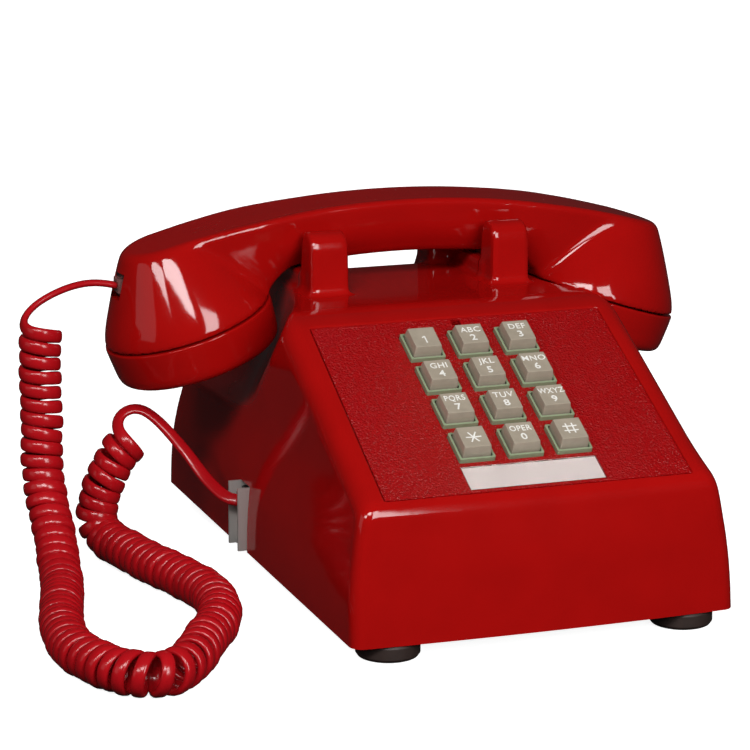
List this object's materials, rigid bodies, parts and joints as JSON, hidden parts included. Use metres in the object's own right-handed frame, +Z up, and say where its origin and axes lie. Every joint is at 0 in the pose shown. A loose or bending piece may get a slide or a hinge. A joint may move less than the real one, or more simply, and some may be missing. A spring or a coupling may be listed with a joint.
{
  "type": "push-button desk telephone",
  "caption": "Desk telephone with a sloped push-button deck, a four-horn cradle, a lift-off handset on a coiled cord, and its ringer and hook switch inside.",
  "frame": {"origin": "on the table, under the centre of the object's box without its cord", "axes": "+Z up, -Y the front that the user faces, +X to the user's right"},
  "size_m": [0.2956, 0.2491, 0.1382],
  "materials": {
    "red_gloss": "glossy moulded plastic",
    "red_grain": "fine leather grain",
    "card": "off-white card",
    "clear": "clear window",
    "collar": "satin",
    "key_grey": "satin moulded plastic",
    "mat_rubber": "soft rubber",
    "board": "laminate",
    "zinc_steel": "zinc plated",
    "foot_rubber": "dark rubber",
    "black_plastic": "satin",
    "cream_plastic": "satin",
    "network_case": "painted",
    "brass": "plain",
    "winding": "wound wire",
    "plug_tint": "tinted",
    "cord_red": "smooth vinyl"
  },
  "bodies": {
    "base": {"housing": "red_gloss", "faceplate": "red_grain", "number_card": "card", "card_window": "clear", "keypad_bezel": "collar", "key_mat": "mat_rubber", "keypad_board": "board", "keypad_frame": "zinc_steel", "keypad_screws": "zinc_steel", "base_plate": "zinc_steel", "rubber_feet": "foot_rubber", "housing_screws": "zinc_steel", "hook_frame": "zinc_steel", "hook_pivot_pin": "zinc_steel", "hook_contacts": "black_plastic", "network_block": "network_case", "network_terminals": "brass", "ringer_frame": "zinc_steel", "ringer_coil": "winding", "gong_left": "brass", "gong_right": "brass", "gong_screws": "zinc_steel", "clapper_pin": "zinc_steel", "wheel_pin": "zinc_steel", "base_jack": "black_plastic", "jack_clip": "zinc_steel", "line_jack": "black_plastic", "base_plug": "plug_tint", "cord_coil": "cord_red", "cord_lead_lower": "cord_red"},
    "handset": {"handset_shell": "red_gloss", "transmitter_cap": "red_gloss", "receiver_cap": "red_gloss", "transmitter_capsule": "zinc_steel", "receiver_capsule": "black_plastic", "transmitter_cup": "black_plastic", "handset_jack": "black_plastic", "handset_plug": "plug_tint", "cord_lead_upper": "cord_red"},
    "key_1_body": {"key_1": "key_grey"},
    "key_2_body": {"key_2": "key_grey"},
    "key_3_body": {"key_3": "key_grey"},
    "key_4_body": {"key_4": "key_grey"},
    "key_5_body": {"key_5": "key_grey"},
    "key_6_body": {"key_6": "key_grey"},
    "key_7_body": {"key_7": "key_grey"},
    "key_8_body": {"key_8": "key_grey"},
    "key_9_body": {"key_9": "key_grey"},
    "key_star_body": {"key_star": "key_grey"},
    "key_0_body": {"key_0": "key_grey"},
    "key_pound_body": {"key_pound": "key_grey"},
    "plunger_left_body": {"plunger_left": "cream_plastic"},
    "plunger_right_body": {"plunger_right": "cream_plastic"},
    "hook_bail_body": {"hook_bail": "cream_plastic"},
    "clapper_body": {"clapper": "zinc_steel"},
    "volume_wheel_body": {"volume_wheel": "black_plastic"}
  },
  "joints": [
    {"name": "handset_lift", "type": "slide", "parent": "base", "child": "handset", "axis": [0, 0, 1], "range_m": [0, 0.09]},
    {"name": "key_1_press", "type": "slide", "parent": "base", "child": "key_1_body", "axis": [0, 0.4493, -0.8934], "range_m": [0, 0.0024], "stiffness_N_per_m": 250},
    {"name": "key_2_press", "type": "slide", "parent": "base", "child": "key_2_body", "axis": [0, 0.4493, -0.8934], "range_m": [0, 0.0024], "stiffness_N_per_m": 250},
    {"name": "key_3_press", "type": "slide", "parent": "base", "child": "key_3_body", "axis": [0, 0.4493, -0.8934], "range_m": [0, 0.0024], "stiffness_N_per_m": 250},
    {"name": "key_4_press", "type": "slide", "parent": "base", "child": "key_4_body", "axis": [0, 0.4493, -0.8934], "range_m": [0, 0.0024], "stiffness_N_per_m": 250},
    {"name": "key_5_press", "type": "slide", "parent": "base", "child": "key_5_body", "axis": [0, 0.4493, -0.8934], "range_m": [0, 0.0024], "stiffness_N_per_m": 250},
    {"name": "key_6_press", "type": "slide", "parent": "base", "child": "key_6_body", "axis": [0, 0.4493, -0.8934], "range_m": [0, 0.0024], "stiffness_N_per_m": 250},
    {"name": "key_7_press", "type": "slide", "parent": "base", "child": "key_7_body", "axis": [0, 0.4493, -0.8934], "range_m": [0, 0.0024], "stiffness_N_per_m": 250},
    {"name": "key_8_press", "type": "slide", "parent": "base", "child": "key_8_body", "axis": [0, 0.4493, -0.8934], "range_m": [0, 0.0024], "stiffness_N_per_m": 250},
    {"name": "key_9_press", "type": "slide", "parent": "base", "child": "key_9_body", "axis": [0, 0.4493, -0.8934], "range_m": [0, 0.0024], "stiffness_N_per_m": 250},
    {"name": "key_star_press", "type": "slide", "parent": "base", "child": "key_star_body", "axis": [0, 0.4493, -0.8934], "range_m": [0, 0.0024], "stiffness_N_per_m": 250},
    {"name": "key_0_press", "type": "slide", "parent": "base", "child": "key_0_body", "axis": [0, 0.4493, -0.8934], "range_m": [0, 0.0024], "stiffness_N_per_m": 250},
    {"name": "key_pound_press", "type": "slide", "parent": "base", "child": "key_pound_body", "axis": [0, 0.4493, -0.8934], "range_m": [0, 0.0024], "stiffness_N_per_m": 250},
    {"name": "plunger_left_rise", "type": "slide", "parent": "base", "child": "plunger_left_body", "axis": [0, 0, 1], "range_m": [0, 0.006]},
    {"name": "plunger_right_rise", "type": "slide", "parent": "base", "child": "plunger_right_body", "axis": [0, 0, 1], "range_m": [0, 0.006]},
    {"name": "hook_bail_turn", "type": "hinge", "parent": "base", "child": "hook_bail_body", "pos_m": [0, 0.02, 0.078], "axis": [1, 0, 0], "range_deg": [0, 13]},
    {"name": "clapper_swing", "type": "hinge", "parent": "base", "child": "clapper_body", "pos_m": [0, 0.028, 0.034], "axis": [0, 0, 1], "range_deg": [-2.6, 2.6], "stiffness_Nm_per_rad": 0.02},
    {"name": "volume_turn", "type": "hinge", "parent": "base", "child": "volume_wheel_body", "pos_m": [0.055, -0.062, 0.014], "axis": [1, 0, 0], "range_deg": [-70, 70]}
  ],
  "couplings": [
    {"joint": "plunger_left_rise", "follows": "handset_lift", "ratio": 0.066},
    {"joint": "plunger_right_rise", "follows": "handset_lift", "ratio": 0.066},
    {"joint": "hook_bail_turn", "follows": "handset_lift", "rad_per_m": 2.4}
  ]
}
